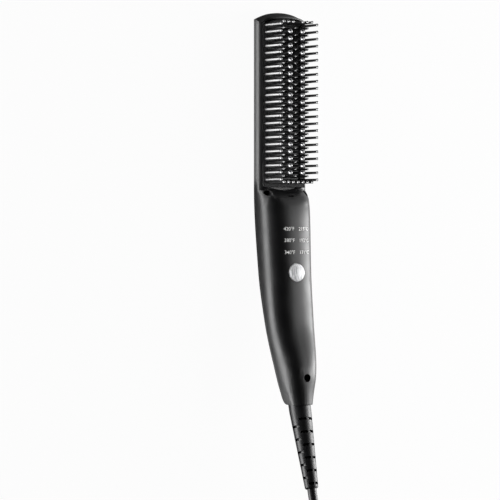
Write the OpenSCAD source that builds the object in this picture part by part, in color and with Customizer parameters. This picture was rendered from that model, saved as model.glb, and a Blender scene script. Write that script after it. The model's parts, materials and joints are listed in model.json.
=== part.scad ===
/* [Head] */
// Width across the side edges of the head
head_w = 35.6; // [33:0.1:38]
// Length of the head, from its tip to the shoulder
head_l = 108; // [106:1:112]
// How far the rounded tip stands out beyond its corners
tip_bulge = 4.7; // [4:0.1:6]
// How far the end of the tip leans back, from the parting line to the bed
tip_draft = 3; // [2.8:0.1:3.1]
// Height of the flat bed above the side edges
bed_h = 6.3; // [6:0.1:7]
// Width across the bed, between the leaning side walls
bed_w = 34; // [33.4:0.1:34.4]
// Depth of the back ridge below the side edges
ridge_d = 6.5; // [6:0.1:8]
// Length of the sloping facet at the back of the tip
hip_l = 21.8; // [18:0.1:26]

/* [Handle] */
// Length of the housing, from the head tip to the cord end
body_len = 240; // [236:1:250]
// Distance from the shoulder to the section at the grip
grip_in = 52; // [48:1:56]
// Distance from the cord end to the section at the palm
palm_in = 50; // [46:1:54]
// Distance from the cord end to the section at the tail
tail_in = 16; // [14:1:18]
// Width across the side edges at the grip
grip_w = 33.3; // [32:0.1:34.4]
// Width across the side edges at the palm
palm_w = 31.3; // [30.5:0.1:32]
// Width across the side edges at the tail
tail_w = 22.9; // [22:0.1:24]
// Width across the side edges at the cord end
end_w = 15.8; // [15.6:0.1:16.4]
// Rise of the side edges at the grip
grip_rise = 3.2; // [2.5:0.1:4]
// Rise of the side edges at the palm
palm_rise = 8.7; // [8:0.1:9.5]
// Rise of the side edges at the tail
tail_rise = 15.6; // [15:0.1:16]
// Rise of the side edges at the cord end
end_rise = 18; // [17.5:0.1:18.2]
// Height of the steep shoulder face, before its top rounds over
shoulder_h = 14; // [13.4:0.1:14.8]
// Length of the steep shoulder face
shoulder_run = 4.3; // [4:0.1:5]
// Height of the front face where the handle starts
start_front = 18.5; // [18:0.1:19.5]
// Height of the front face at the grip
grip_front = 20.8; // [20.3:0.1:22]
// Height of the front face at the palm
palm_front = 24; // [23:0.1:25]
// Height of the front face at the tail
tail_front = 31.9; // [31:0.1:33]
// Height of the front face at the cord end
end_front = 31.8; // [31.6:0.1:33]
// Radius of the front corners on the head
bed_corner = 2; // [1.6:0.1:2.2]
// Radius of the front corners at the grip
grip_corner = 9; // [7:0.1:11]
// Radius of the front corners at the tail
tail_corner = 11; // [9:0.1:12]
// How far the side walls lean in at the grip
grip_lean = 2.35; // [2:0.05:2.6]
// How far the side walls lean in at the palm
palm_lean = 2.1; // [1.8:0.1:2.4]
// How far the side walls lean in at the tail
tail_lean = 0.6; // [0.3:0.1:0.8]
// Radius of the cord end inside its rounding
end_rim_r = 7.3; // [7.2:0.1:7.6]
// How far the rounding of the cord end reaches outwards
end_round_r = 4; // [3.5:0.1:5]
// How far the rounding of the cord end reaches along the handle
end_round_l = 10; // [8:0.5:12]

/* [Shells] */
// Wall thickness of both shells
wall = 1.8; // [1.6:0.1:2]
// Height of the parting line above the side edges
parting_h = 1.4; // [1.2:0.1:1.6]
// How far the front shell steps in at the parting line
parting_step = 0.15; // [0.1:0.01:0.3]
// Length of the solid block that carries the swivel
end_block = 9; // [8.6:0.1:9.6]
// Gap between pieces that touch flat
seat_gap = 0.05; // [0.02:0.01:0.08]

/* [Comb guard] */
// Gap between the comb guard and the walls round it
guard_gap = 0.15; // [0.1:0.01:0.25]
// Height of the top of the guard frame above the side edges
guard_top = 6.7; // [6.6:0.1:7]
// Height of the underside of the guard frame
guard_base = 4.25; // [4.2:0.05:4.5]
// Width of the side rails of the guard frame
rail_w = 2.6; // [2.4:0.1:2.8]
// Distance from the tip to the first guard tooth
tooth_start = 8.3; // [8:0.1:8.8]
// Distance between neighbouring teeth
tooth_pitch = 4.3; // [4.1:0.05:4.6]
// Least room between the last guard tooth and the shoulder
tooth_room = 4.6; // [4.4:0.1:5]
// Distance between the two rows of guard teeth
guard_rows = 26.6; // [26.4:0.1:26.8]
// Height of the tips of the guard teeth
guard_tip = 24; // [22:0.1:26]
// Diameter of a guard tooth at its foot
guard_foot_d = 1.8; // [1.6:0.1:1.8]
// Diameter of a guard tooth just below its bead
guard_neck_d = 1.45; // [1.3:0.05:1.6]
// Diameter of the bead that ends a guard tooth
guard_bead_d = 1.75; // [1.6:0.05:1.9]
// Height of the tips of the end teeth
end_tip = 22.9; // [21:0.1:25]
// Distance between the teeth of an end row
end_pitch = 3.45; // [3.3:0.05:3.6]
// Number of teeth in an end row
end_count = 7; // [5:2:7]
// Distance from an end row to the nearest guard tooth
end_step = 1.5; // [1.3:0.1:1.5]
// Diameter of the pegs that lock the guard to the heated comb
peg_d = 1.4; // [1.2:0.1:1.6]

/* [Heated comb] */
// Thickness of the flange of the heated comb
flange_t = 2; // [1.8:0.1:2.2]
// Height of the raised bed of the heated comb
comb_bed = 5.6; // [5.4:0.1:6]
// Gap between the heated comb and the guard window
comb_gap = 0.3; // [0.2:0.05:0.4]
// Distance of each row of ball pins from the middle
ball_row = 4.4; // [4.2:0.1:4.6]
// Distance of each outer row of plain pins from the middle
outer_row = 8.8; // [8.6:0.1:9]
// Height of the tops of the balls
ball_top = 21.5; // [20:0.1:23]
// Diameter of the balls
ball_d = 3; // [2.8:0.1:3.2]
// Diameter of a ball pin at its foot
ball_pin_d = 1.9; // [1.7:0.1:2.1]
// Diameter of a ball pin at its top
ball_pin_top_d = 1.4; // [1.3:0.1:1.5]
// Height of the tips of the middle row of plain pins
mid_tip = 19.7; // [18:0.1:21]
// Height of the tips of the outer rows of plain pins
outer_tip = 20.2; // [18:0.1:22]
// Diameter of a plain pin at its foot
pin_d = 1.7; // [1.5:0.1:1.8]
// Diameter of a plain pin at its tip
pin_tip_d = 1.2; // [1:0.1:1.4]

/* [Heater] */
// Width of the heating element
heater_w = 12; // [10:0.5:13]
// Thickness of the heating element
heater_t = 2; // [1.8:0.1:2.1]
// Distance from the last tile to the shoulder
heater_room = 15.6; // [15:0.1:18]
// Number of tiles
tile_count = 4; // [3:1:4]
// Distance from the tip to the first tile
heater_start = 14; // [13:0.5:16]
// Thickness of an electrode strip
strip_t = 0.3; // [0.2:0.05:0.35]
// Thickness of the insulating film
film_t = 0.15; // [0.1:0.01:0.15]
// Thickness of the heater clip
clip_t = 0.4; // [0.3:0.05:0.45]
// Thickness of the heat shield
shield_t = 0.5; // [0.4:0.05:0.6]
// Thickness of the carrier frame
carrier_t = 1.25; // [1.1:0.05:1.3]

/* [Button and board] */
// Distance from the shoulder to the power button
button_in = 51.5; // [49:0.5:54]
// Diameter of the power button
button_d = 11; // [10:0.1:12]
// Gap round the power button
button_gap = 0.32; // [0.3:0.01:0.5]
// How far the dome of the button stands out
button_dome = 1.4; // [1.2:0.1:2]
// Travel of the power button
button_travel = 0.6; // [0.3:0.05:0.7]
// Thickness of the control board
board_t = 1.6; // [1.2:0.1:1.8]
// Height of the underside of the control board
board_n = 12; // [11.8:0.1:12.2]
// Width of the control board
board_w = 22; // [20:0.5:23]
// Distance from the cord end to the control board
board_in = 52; // [50:1:54]
// Height of the tact switch body
switch_h = 2.5; // [2.2:0.1:2.7]
// Distance from the shoulder to the first indicator lamp
lamp_in = 25; // [23:0.5:27]
// Distance between the indicator lamps
lamp_pitch = 7.15; // [6.8:0.05:7.5]

/* [Screws] */
// Distance of each shoulder screw from the middle
shoulder_u = 13.9; // [13.7:0.1:14.1]
// Distance from the shoulder to its screws
shoulder_in = 3; // [3:0.1:3.6]
// Diameter of the shoulder screw recesses
shoulder_hole_d = 3.9; // [3.7:0.1:4.1]
// Distance from the cord end to the tail screw
tail_screw_in = 16.5; // [16:0.1:17]
// Diameter of the tail screw recess
tail_hole_d = 4.8; // [4.6:0.1:5]
// Diameter of the shank of the shoulder screws
shoulder_shank_d = 2; // [1.8:0.1:2.2]
// Diameter of the shank of the tail screw
tail_shank_d = 2.2; // [2:0.1:2.4]
// Clearance between a screw and its hole
screw_gap = 0.1; // [0.08:0.01:0.15]

/* [Swivel and strain relief] */
// Lean of the cord exit towards the front
exit_lean = 15; // [12:1:18]
// Height of the cord exit above the head's side edges
exit_n = 23.4; // [23.3:0.1:23.6]
// Diameter of the collar of the strain relief
collar_d = 13.5; // [13.2:0.1:13.6]
// Running gap of the swivel
swivel_gap = 0.06; // [0.04:0.01:0.08]
// Length of the collar inside the housing
collar_in = 3.1; // [2.8:0.1:3.4]
// Thickness of the rib that holds the swivel
swivel_rib = 2; // [1.8:0.1:2.2]
// Diameter of the neck of the swivel
neck_d = 9; // [8.4:0.1:9.6]
// Diameter of the flange of the swivel core
flange_d = 11; // [10.6:0.1:11.4]
// Length of the strain relief outside the housing
relief_l = 52; // [50:1:54]
// Diameter of the free end of the strain relief
relief_end_d = 8.1; // [7.8:0.1:8.4]
// Distance from the housing to the first slots
slot_start = 9.8; // [9:0.1:10.4]
// Distance between slots on one side
slot_pitch = 7.9; // [7.6:0.1:8]
// Width of a slot
slot_w = 1.5; // [1.2:0.1:1.8]
// Depth of a slot
slot_depth = 1.6; // [1.3:0.1:1.7]

/* [Cord] */
// Diameter of the cord
cord_d = 5.7; // [5.5:0.1:5.8]
// Height of one layer of the hank
layer_h = 6.35; // [6.3:0.05:6.45]
// Distance between the two columns of the hank
column_p = 6.5; // [6.5:0.05:6.7]
// Inner radius of the folds, on the middle of the cord
fold_r = 17.1; // [17.1:0.1:17.4]
// Half of the distance between the centres of the folds
fold_c = 28.8; // [28:0.1:29]
// How far the runs are drawn in at the tie
waist = 4; // [3.6:0.1:4.2]
// Number of layers
layers = 4; // [4:1:4]
// Width of the tie
tie_w = 6; // [5:0.5:8]
// Thickness of the tie
tie_t = 1.2; // [1:0.1:1.5]

/* [Plug] */
// Length of the plug body
plug_l = 28; // [26:0.5:30]
// Width of the plug body
plug_w = 24; // [22:0.5:25]
// Thickness of the plug body
plug_t = 14; // [13:0.5:15]
// Length of the strain relief of the plug
plug_relief_l = 20; // [20:0.5:22]
// Distance between the blades
blade_pitch = 12.7; // [12.6:0.1:12.8]
// Length of a blade
blade_l = 16; // [15.5:0.1:17.5]
// Width of a blade
blade_w = 6.3; // [6.2:0.1:6.5]
// Thickness of a blade
blade_t = 1.5; // [1.4:0.05:1.6]

/* [Hidden] */
round_fn = 48;
small_fn = 16;
eps = 0.01;

// Lengths run from the tip, heights from the side edges of the head
function yof(s) = body_len / 2 - s;
function zof(n) = ridge_d + n;
half_head = head_w / 2;
tip_r = (half_head * half_head + tip_bulge * tip_bulge) / (2 * tip_bulge);
gable = ridge_d / half_head;
grip_s = head_l + grip_in;
palm_s = body_len - palm_in;
tail_s = body_len - tail_in;
blend_l = 18;
start_s = head_l + blend_l;
big = 60;

// Smooth curve through points, without overshoot, with the slope given at each end
function chord(p, i) = (p[i + 1][1] - p[i][1]) / (p[i + 1][0] - p[i][0]);
function slope(p, i, m0, m1) =
  i == 0 ? m0 : i == len(p) - 1 ? m1 :
  let (a = chord(p, i - 1), b = chord(p, i))
  a * b <= 0 ? 0 : 2 * a * b / (a + b);
function span_of(p, x, i = 0) = i >= len(p) - 2 || x < p[i + 1][0] ? i : span_of(p, x, i + 1);
function curve(p, x, m0 = 0, m1 = 0) =
  let (
    i = span_of(p, x),
    w = p[i + 1][0] - p[i][0],
    t = max(0, min(1, (x - p[i][0]) / w)),
    a = slope(p, i, m0, m1),
    b = slope(p, i + 1, m0, m1)
  )
  (2 * t ^ 3 - 3 * t ^ 2 + 1) * p[i][1] + (3 * t ^ 2 - 2 * t ^ 3) * p[i + 1][1]
  + w * ((t ^ 3 - 2 * t ^ 2 + t) * a + (t ^ 3 - t ^ 2) * b);

// The handle's sections along its length
end_taper = -0.5;
bed_lean = (head_w - bed_w) / 2;
widths = [[head_l, head_w], [grip_s, grip_w], [palm_s, palm_w], [tail_s, tail_w], [body_len, end_w]];
rises = [[head_l, 0], [grip_s, grip_rise], [palm_s, palm_rise], [tail_s, tail_rise], [body_len, end_rise]];
fronts = [[head_l, bed_h], [head_l + shoulder_run, shoulder_h],
  [head_l + shoulder_run + 6.4, start_front - 1.1], [start_s, start_front],
  [grip_s, grip_front], [palm_s, palm_front], [tail_s, tail_front], [body_len, end_front]];
corners = [[head_l, bed_corner], [head_l + 1.5, grip_corner / 2], [head_l + 3, grip_corner],
  [head_l + 8, grip_corner], [start_s, grip_corner - 1], [grip_s, grip_corner],
  [tail_s, tail_corner], [body_len, tail_corner]];
leans = [[head_l, bed_lean], [start_s, grip_lean], [grip_s, grip_lean], [palm_s, palm_lean],
  [tail_s, tail_lean], [body_len, tail_lean]];
function half_w(s) = curve(widths, s, 0, end_taper) / 2;
function rise(s) = curve(rises, s);
function ridge(s) = rise(s) - gable * half_w(s);
function parting(s) = rise(s) + parting_h;
function front(s) = curve(fronts, s, 1.8);
function top_half(s) = half_w(s) - curve(leans, s);
function corner(s) = min(curve(corners, s), top_half(s) - 0.3, front(s) - parting(s) - 0.5);
button_s = head_l + button_in;
front_tilt = atan((front(button_s + 1) - front(button_s - 1)) / 2);

// Stations of the lofted shells
stations = concat([0, head_l / 2],
  [for (k = [0:11]) head_l + blend_l * (k / 12) ^ 1.5],
  [for (k = [0:13]) start_s + k * (tail_s - start_s) / 14],
  [for (k = [0:8]) tail_s + k * tail_in / 8]);
corner_steps = 8;

// A solid through rings of points that lie on planes across its length
module loft(rings) {
  n = len(rings);
  m = len(rings[0]);
  points = [for (r = rings) each r];
  sides = [for (i = [0:n - 2], j = [0:m - 1])
    let (a = i * m + j, b = i * m + (j + 1) % m)
    each [[a, b + m, b], [a, a + m, b + m]]];
  polyhedron(points, concat(sides, [[for (j = [0:m - 1]) j]],
    [[for (j = [m - 1:-1:0]) (n - 1) * m + j]]), convexity = 6);
}
function mirrored(half) = concat(half, [for (i = [len(half) - 1:-1:0]) [-half[i][0], half[i][1]]]);
function ring_at(s, shape) = [for (p = shape) [p[0], yof(s), zof(p[1])]];

// Front shell: leaning walls and round front corners
inner_shift = 1.2;
function front_half(s, t, foot) =
  let (r = max(corner(s) - t, 0.3), c = top_half(s) - t - r,
    top = front(t > 0 ? s - inner_shift : s) - t)
  concat([[half_w(s) - parting_step - t, foot]],
    [for (k = [0:corner_steps]) let (a = 90 * k / corner_steps)
      [c + r * cos(a), top - r + r * sin(a)]]);
module front_solid() {
  loft([for (s = stations) ring_at(s, mirrored(front_half(s, 0, parting(s))))]);
}
module front_hollow() {
  loft([for (s = stations) if (s < body_len - end_block)
    ring_at(s, mirrored(front_half(s, wall, parting(s) - 1)))]);
}

// Rear shell: a gabled back and a short upright strip at each side
function rear_half(s) = [[0, ridge(s)], [half_w(s), rise(s)], [half_w(s) - parting_step, parting(s)]];
function rear_hollow_half(s) =
  let (u = half_w(s) - parting_step - wall, lift = wall * sqrt(1 + gable * gable))
  [[0, ridge(s) + lift], [u, ridge(s) + lift + gable * u], [u, parting(s) + 1]];
function closed_half(half) = concat(half, [for (i = [len(half) - 1:-1:1]) [-half[i][0], half[i][1]]]);
module rear_solid() {
  loft([for (s = stations) ring_at(s, closed_half(rear_half(s)))]);
}
module rear_hollow() {
  loft([for (s = stations) if (s < body_len - end_block)
    ring_at(s, closed_half(rear_hollow_half(s)))]);
}

// Everything inside the rounded tip, at an inset
module behind_tip() {
  translate([-big, yof(tip_r) - 2 * body_len, -big])
    cube([2 * big, 2 * body_len, 3 * big]);
}
module tip_region(inset) {
  translate([0, yof(tip_r), -big])
    cylinder(r = tip_r - inset, h = 3 * big, $fn = 96);
  behind_tip();
}
// The same for the front shell, whose tip leans back above the parting line
module front_tip(inset) {
  r = tip_r - inset;
  top = bed_h + tip_r / 4;
  translate([0, yof(tip_r), zof(0)])
    rotate_extrude($fn = 96)
      polygon([[0, -big], [r, -big], [r, parting_h],
        [r - (top - parting_h) * tip_draft / (bed_h - parting_h), top], [0, top]]);
  behind_tip();
}
// Everything inside the rounded cord end, which widens along a cone in front of its rounding
end_round_a = 50.5;
module end_region() {
  arc = [for (k = [0:6]) let (a = end_round_a * k / 6)
    [end_rim_r + end_round_r * sin(a), -end_round_l * (1 - cos(a))]];
  last = arc[6];
  slope = end_round_r / (end_round_l * tan(end_round_a));
  flare = [last[0] + slope * tail_in, last[1] - tail_in];
  translate([0, -body_len / 2, zof(exit_n)])
    rotate([90, 0, 0])
      rotate_extrude($fn = 96)
        polygon(concat([[0, 1], [end_rim_r, 1]], arc,
          [flare, [big, flare[1]], [big, -2 * body_len], [0, -2 * body_len]]));
}
// Everything behind the sloping facet of the tip, raised by a lift
hip_a = atan((ridge_d + 0.06) / (hip_l - tip_bulge));
module hip_block(lift) {
  translate([0, yof(hip_l), 0])
    rotate([hip_a, 0, 0])
      translate([-big, -1, lift - big])
        cube([2 * big, 2 * big, big]);
}
module upright(u, s, d, low, high, fn = small_fn) {
  translate([u, yof(s), zof(low)])
    cylinder(d = d, h = high - low, $fn = fn);
}
module block(u0, u1, s0, s1, n0, n1) {
  translate([u0, yof(s1), zof(n0)])
    cube([u1 - u0, s1 - s0, n1 - n0]);
}
module on_exit() {
  translate([0, -body_len / 2, zof(exit_n)])
    rotate([90 - exit_lean, 0, 0])
      children();
}

// Screws, from the front into the rear cover
shoulder_s = head_l + shoulder_in;
shoulder_boss_d = 5.2;
shoulder_split = parting(shoulder_s);
shoulder_seat = shoulder_split + 3.4;
shoulder_pilot = ridge(shoulder_s) + gable * shoulder_u + 0.7;
tail_screw_s = body_len - tail_screw_in;
tail_boss_d = 7.2;
tail_seat = parting(tail_screw_s) + 2.4;
tail_pilot = ridge(tail_screw_s) + 1.6;

// Swivel, along the leaning exit axis
rib_in = collar_in + 0.2 + swivel_rib;
core_face = rib_in + 0.2;
core_flange = 2.5;
core_stub = 4;
pocket_d = flange_d + 0.8;
mouth_l = 8;
module swivel_bores() {
  on_exit() {
    translate([0, 0, -collar_in - 0.2])
      cylinder(d = collar_d + 2 * swivel_gap, h = mouth_l + collar_in, $fn = round_fn);
    translate([0, 0, -rib_in - eps])
      cylinder(d = neck_d + 2 * swivel_gap, h = swivel_rib + 2 * eps, $fn = round_fn);
    translate([0, 0, -core_face - core_flange - core_stub - 0.6])
      cylinder(d = pocket_d, h = core_flange + core_stub + 0.8, $fn = round_fn);
  }
}

// Thermal fuse, on a rib of the rear cover
fuse_u = -5;
fuse_s = head_l + 3;
fuse_d = 3.6;
fuse_l = 9;
fuse_n = 1.5;

// Posts under the carrier frame
post_stations = [20, head_l / 2, head_l - 18];
post_u = 12.2;
carrier_base = guard_base - seat_gap - flange_t - seat_gap - carrier_t;
function hip_at(n) = hip_l - (n + ridge_d - wall / cos(hip_a)) / tan(hip_a);

module rear_cover() {
  color("#3a3a3c")
    difference() {
      intersection() {
        rear_solid();
        tip_region(0);
        end_region();
      }
      difference() {
        intersection() {
          rear_hollow();
          tip_region(wall);
        }
        hip_block(wall);
        for (s = post_stations, side = [-1, 1])
          upright(side * post_u, s, 3, -ridge_d, carrier_base - seat_gap);
        block(fuse_u - 1.4, fuse_u + 1.4, fuse_s + 3, fuse_s + 6, -ridge_d,
          fuse_n - fuse_d / 2 - seat_gap);
        for (side = [-1, 1])
          upright(side * shoulder_u, shoulder_s, shoulder_boss_d, -ridge_d, bed_h, round_fn);
        upright(0, tail_screw_s, tail_boss_d, -ridge_d, tail_front, round_fn);
      }
      hip_block(0);
      swivel_bores();
      for (side = [-1, 1])
        upright(side * shoulder_u, shoulder_s, shoulder_shank_d + screw_gap, shoulder_pilot,
          bed_h, round_fn);
      upright(0, tail_screw_s, tail_shank_d + screw_gap, tail_pilot, tail_front, round_fn);
    }
}

// Opening of the front shell round the comb
window_w = guard_rows + 2.4;
window_tip = 3.95;
window_end = head_l - 0.6;
module window_region(inset, low, high) {
  intersection() {
    translate([0, yof(tip_r), zof(low)])
      cylinder(r = tip_r - window_tip - inset, h = high - low, $fn = 96);
    block(-window_w / 2 + inset, window_w / 2 - inset, 0, tip_r, low, high);
  }
  block(-window_w / 2 + inset, window_w / 2 - inset, tip_r - eps, window_end - inset, low, high);
}
outlet_s = head_l + 4.4;
outlet_w = 3.7;
outlet_l = 0.9;
recess_half = 10;
recess_l = 1.9;
recess_n = bed_h - 1.1;
recess_r = (recess_half * recess_half + recess_l * recess_l) / (2 * recess_l);
module shoulder_recess() {
  intersection() {
    upright(0, head_l + 1.3 - recess_r, 2 * recess_r, recess_n, start_front, 96);
    block(-window_w / 2 + 1.5, window_w / 2 - 1.5, window_end - 1, start_s, 0, start_front);
  }
}
board_s0 = start_s - 4;
board_s1 = body_len - board_in;
board_step = (board_s1 - board_s0) / 33;
board_top = board_n + board_t;
hole_u = board_w / 2 - 2.6;
hole_ends = [board_s0 + 2 * board_step, board_s1 - 2 * board_step];
board_holes = [for (s = hole_ends, side = [1, -1]) [side * hole_u, s]];
lamp_stations = [for (k = [0:2]) head_l + lamp_in + k * lamp_pitch];
module on_button() {
  translate([0, yof(button_s), zof(front(button_s))])
    rotate([-front_tilt, 0, 0])
      children();
}

module front_housing() {
  color("#343436")
    difference() {
      intersection() {
        front_solid();
        front_tip(0);
        end_region();
      }
      difference() {
        intersection() {
          front_hollow();
          front_tip(wall);
        }
        for (side = [-1, 1])
          upright(side * shoulder_u, shoulder_s, shoulder_boss_d, shoulder_split + seat_gap,
            start_front, round_fn);
        upright(0, tail_screw_s, tail_boss_d, parting(tail_screw_s) + seat_gap, tail_front, round_fn);
        for (h = board_holes)
          upright(h[0], h[1], 4.4, board_top + seat_gap, palm_front);
      }
      window_region(0, -1, start_front);
      shoulder_recess();
      hip_block(0);
      for (side = [-1, 1]) {
        upright(side * shoulder_u, shoulder_s, shoulder_hole_d, shoulder_seat, start_front, round_fn);
        upright(side * shoulder_u, shoulder_s, shoulder_shank_d + 2 * screw_gap, 0, start_front, round_fn);
      }
      upright(0, tail_screw_s, tail_hole_d, tail_seat, 2 * tail_front, round_fn);
      upright(0, tail_screw_s, tail_shank_d + 2 * screw_gap, 0, tail_front, round_fn);
      for (h = [board_holes[0], board_holes[3]])
        upright(h[0], h[1], 1.8, board_top, board_top + 3.2, round_fn);
      block(-outlet_w / 2, outlet_w / 2, outlet_s, outlet_s + outlet_l, bed_h, start_front);
      on_button()
        translate([0, 0, -big / 4])
          cylinder(d = button_d + 2 * button_gap, h = big / 2, $fn = round_fn);
      swivel_bores();
    }
}

// A tooth that tapers to a neck and ends in a bead
module tooth(u, s, foot, tip, foot_d, neck_d, bead_d) {
  h = tip - foot - bead_d / 2;
  translate([u, yof(s), zof(foot)])
    rotate_extrude($fn = small_fn)
      union() {
        polygon([[0, 0], [foot_d / 2, 0], [neck_d / 2, h - bead_d * 0.2], [neck_d / 2, h], [0, h]]);
        intersection() {
          translate([0, h])
            circle(d = bead_d, $fn = 32);
          translate([0, h - bead_d])
            square([bead_d, 2 * bead_d]);
        }
      }
}
tooth_count = floor((head_l - tooth_room - tooth_start) / tooth_pitch) + 1;
last_tooth = tooth_start + (tooth_count - 1) * tooth_pitch;
bar_s0 = tooth_start - end_step + 1.6;
bar_s1 = last_tooth + end_step - 1.6;
peg_u = guard_rows / 2 - 0.5;
peg_stations = [36, head_l / 2 + 14, head_l - 28];
module comb_guard() {
  middle = (end_count - 1) / 2;
  color("#262628") {
    difference() {
      window_region(guard_gap, guard_base, guard_top);
      block(-window_w / 2 + rail_w, window_w / 2 - rail_w, bar_s0, bar_s1, 0, guard_tip);
    }
    for (s = peg_stations, side = [-1, 1])
      upright(side * peg_u, s, peg_d, carrier_base + 0.1, guard_base + eps);
    for (k = [0:tooth_count - 1], side = [-1, 1])
      tooth(side * guard_rows / 2, tooth_start + k * tooth_pitch, guard_top - eps, guard_tip,
        guard_foot_d, guard_neck_d, guard_bead_d);
    for (k = [0:end_count - 1])
      tooth((k - middle) * end_pitch, last_tooth + end_step, guard_top - eps, end_tip,
        guard_foot_d, guard_neck_d, guard_bead_d);
    for (k = [0:end_count - 1])
      if (k != middle)
        tooth((k - middle) * end_pitch, tooth_start - end_step, guard_top - eps, end_tip,
          guard_foot_d, guard_neck_d, guard_bead_d);
  }
}

// Heated comb: a flange under the guard, a raised bed in its window, and the pins
flange_top = guard_base - seat_gap;
flange_base = flange_top - flange_t;
bed_u = window_w / 2 - rail_w - comb_gap;
module heat_comb() {
  color("#1e1e20") {
    difference() {
      window_region(guard_gap + 0.4, flange_base, flange_top);
      peg_holes();
    }
    block(-bed_u, bed_u, bar_s0 + comb_gap, bar_s1 - comb_gap, flange_top - eps, comb_bed);
    for (k = [1:tooth_count - 2], side = [-1, 1])
      upright_cone(side * ball_row, tooth_start + k * tooth_pitch, comb_bed - eps,
        ball_top - ball_d * 0.6, ball_pin_d, ball_pin_top_d);
    for (k = [0:tooth_count - 2]) {
      tooth(0, tooth_start + (k + 0.5) * tooth_pitch, comb_bed - eps, mid_tip, pin_d, pin_tip_d,
        pin_tip_d);
      for (side = [-1, 1])
        tooth(side * outer_row, tooth_start + (k + 0.5) * tooth_pitch, comb_bed - eps, outer_tip,
          pin_d, pin_tip_d, pin_tip_d);
    }
  }
}
module peg_holes() {
  for (s = peg_stations, side = [-1, 1])
    upright(side * peg_u, s, peg_d + 0.2, carrier_base - 1, guard_base + 1);
}
module upright_cone(u, s, low, high, d0, d1) {
  translate([u, yof(s), zof(low)])
    cylinder(d1 = d0, d2 = d1, h = high - low, $fn = small_fn);
}

// Balls on the ball pins, each with a blind hole
module ball_tips() {
  hole_r = ball_pin_top_d / 2 + 0.12;
  color("#4a4a4c")
    for (k = [1:tooth_count - 2], side = [-1, 1])
      translate([side * ball_row, yof(tooth_start + k * tooth_pitch), zof(ball_top - ball_d / 2)])
        rotate_extrude($fn = small_fn)
          difference() {
            intersection() {
              circle(d = ball_d);
              translate([0, -ball_d])
                square([ball_d, 2 * ball_d]);
            }
            translate([-1, -ball_d])
              square([1 + hole_r, ball_d * 0.9 + seat_gap]);
          }
}

module heat_carrier() {
  color("#2c2a28")
    difference() {
      window_region(guard_gap + 0.4, carrier_base, carrier_base + carrier_t);
      block(-9.6, 9.6, heater_start - 3, heater_end + 11, -big, big);
      block(-big, big, -1, hip_at(carrier_base) + 0.4, -big, big);
      peg_holes();
    }
}

// Heating stack, from the underside of the comb downwards
film_top = flange_base - seat_gap;
strip_top = film_top - film_t - seat_gap;
tile_top = strip_top - strip_t - seat_gap;
tile_low = tile_top - heater_t;
strip_low = tile_low - seat_gap - strip_t;
film_low = strip_low - seat_gap - film_t;
heater_end = head_l - heater_room;
tile_l = (heater_end - heater_start) / tile_count;
module ptc_heater() {
  color("#8c8478")
    for (k = [0:tile_count - 1])
      block(-heater_w / 2, heater_w / 2, heater_start + k * tile_l + 0.2,
        heater_start + (k + 1) * tile_l, tile_low, tile_top);
}
module electrode_strips() {
  color("#c8c4b8") {
    block(-heater_w / 2, heater_w / 2, heater_start, heater_end + 2, tile_top + seat_gap, strip_top);
    block(-heater_w / 2, heater_w / 2, heater_start, heater_end + 2, strip_low, tile_low - seat_gap);
  }
}
module insulation_film() {
  u = heater_w / 2 + 0.3;
  color("#b8742a")
    difference() {
      block(-u - film_t, u + film_t, heater_start - 0.5, heater_end + 1, film_low, film_top);
      block(-u, u, heater_start - 1, heater_end + 2, film_low + film_t, film_top - film_t);
    }
}
clip_u = heater_w / 2 + 1.2;
module heater_clip() {
  color("#b0b2b4")
    difference() {
      block(-clip_u - clip_t, clip_u + clip_t, heater_start + 4, heater_end - 4,
        film_low - seat_gap - clip_t, film_top);
      block(-clip_u, clip_u, heater_start, heater_end, film_low - seat_gap, big);
    }
}
shield_top = film_low - 2 * seat_gap - clip_t;
shield_u = heater_w / 2 + 0.6;
module heat_shield() {
  color("#d8d0b8")
    block(-shield_u, shield_u, hip_at(shield_top - shield_t) + 0.5, heater_end, shield_top - shield_t,
      shield_top);
}
module along(u, s, n, d, l) {
  translate([u, yof(s), zof(n)])
    rotate([90, 0, 0])
      cylinder(d = d, h = l, $fn = 24);
}
module thermistor() {
  color("#d09a40")
    along(0, heater_end + 3.2, film_top - 0.9, 1.8, 4);
}
module thermal_fuse() {
  color("#c9b27a") {
    along(fuse_u, fuse_s, fuse_n, fuse_d, fuse_l);
    along(fuse_u, fuse_s - 1.2, fuse_n, 0.9, fuse_l + 2.4);
  }
}

// A tube swept along a route, with flat ends square to it
function unit(v) = v / norm(v);
function heading(p, i) = unit(p[min(i + 1, len(p) - 1)] - p[max(i - 1, 0)]);
module tube(p, d, sides, first = undef, last = undef) {
  n = len(p);
  points = [for (i = [0:n - 1])
    let (
      t = i == 0 && !is_undef(first) ? first : i == n - 1 && !is_undef(last) ? last : heading(p, i),
      side = unit(cross(t, [0, 0, 1])),
      up = cross(side, t)
    )
    for (k = [0:sides - 1]) let (a = 360 * k / sides + 90)
      p[i] + d / 2 * (cos(a) * side + sin(a) * up)];
  faces = [for (i = [0:n - 2], k = [0:sides - 1])
    let (a = i * sides + k, b = i * sides + (k + 1) % sides)
    each [[a, b, b + sides], [a, b + sides, a + sides]]];
  polyhedron(points, concat(faces, [[for (k = [sides - 1:-1:0]) k]],
    [[for (k = [0:sides - 1]) (n - 1) * sides + k]]), convexity = 8);
}
function placed(route) = [for (p = route) [p[0], yof(p[1]), zof(p[2])]];
lead_d = 1.3;
lead_low = carrier_base - lead_d / 2 - 0.3;
lead_end = board_n - lead_d / 2 - 0.1;
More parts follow.
